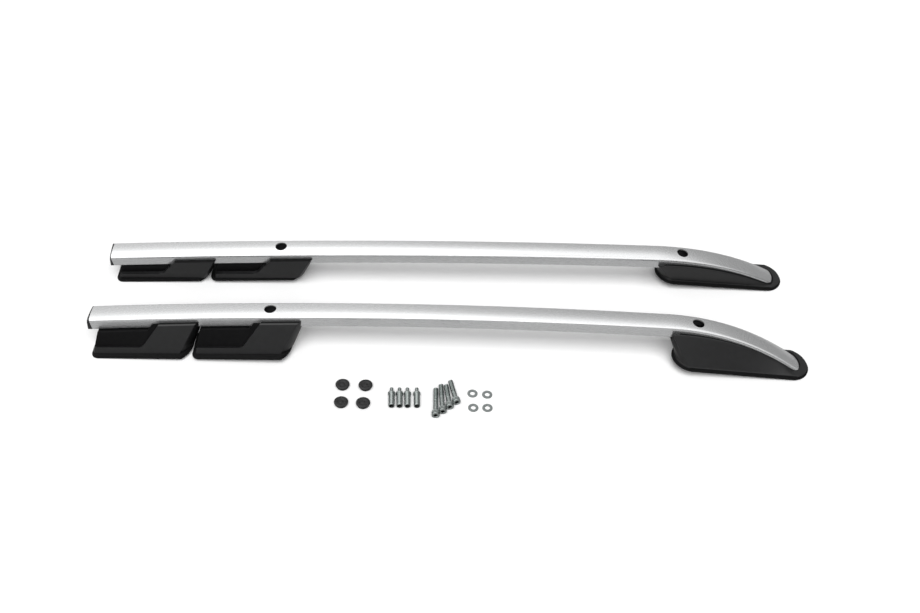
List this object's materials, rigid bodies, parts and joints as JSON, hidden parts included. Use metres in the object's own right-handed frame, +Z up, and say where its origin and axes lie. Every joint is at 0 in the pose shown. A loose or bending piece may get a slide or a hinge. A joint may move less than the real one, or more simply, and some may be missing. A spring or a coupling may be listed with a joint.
{
  "type": "roof side rail pair",
  "caption": "Pair of bowed oval aluminium roof rails on black moulded feet with rubber pads, with their bolts, washers, inserts and hole plugs laid out in front.",
  "frame": {"origin": "on the floor, at the middle of the whole set's floor plan", "axes": "+X along the rails towards the front of the vehicle, +Y to the vehicle's left, +Z up"},
  "size_m": [1.2058, 0.3899, 0.0842],
  "materials": {
    "satin_aluminium": "satin anodised",
    "grained_black": "fine grained moulding",
    "black_trim": "smooth satin moulding",
    "pad_rubber": "soft matt rubber",
    "zinc_steel": "bright zinc plate"
  },
  "bodies": {
    "root": {"rail_tube_right": "satin_aluminium", "rear_end_cap_right": "black_trim", "rear_foot_right": "grained_black", "middle_foot_right": "grained_black", "front_foot_right": "grained_black", "rear_pad_right": "pad_rubber", "middle_pad_right": "pad_rubber", "front_pad_right": "pad_rubber", "rear_bolt_sleeve_right": "zinc_steel", "front_bolt_sleeve_right": "zinc_steel", "foot_screws_right": "zinc_steel", "rail_tube_left": "satin_aluminium", "rear_end_cap_left": "black_trim", "rear_foot_left": "grained_black", "middle_foot_left": "grained_black", "front_foot_left": "grained_black", "rear_pad_left": "pad_rubber", "middle_pad_left": "pad_rubber", "front_pad_left": "pad_rubber", "rear_bolt_sleeve_left": "zinc_steel", "front_bolt_sleeve_left": "zinc_steel", "foot_screws_left": "zinc_steel", "hole_plug_1": "black_trim", "hole_plug_2": "black_trim", "hole_plug_3": "black_trim", "hole_plug_4": "black_trim", "threaded_insert_1": "zinc_steel", "threaded_insert_2": "zinc_steel", "threaded_insert_3": "zinc_steel", "threaded_insert_4": "zinc_steel", "bolt_1": "zinc_steel", "bolt_2": "zinc_steel", "bolt_3": "zinc_steel", "bolt_4": "zinc_steel", "washer_1": "zinc_steel", "washer_2": "zinc_steel", "washer_3": "zinc_steel", "washer_4": "zinc_steel"}
  },
  "joints": []
}
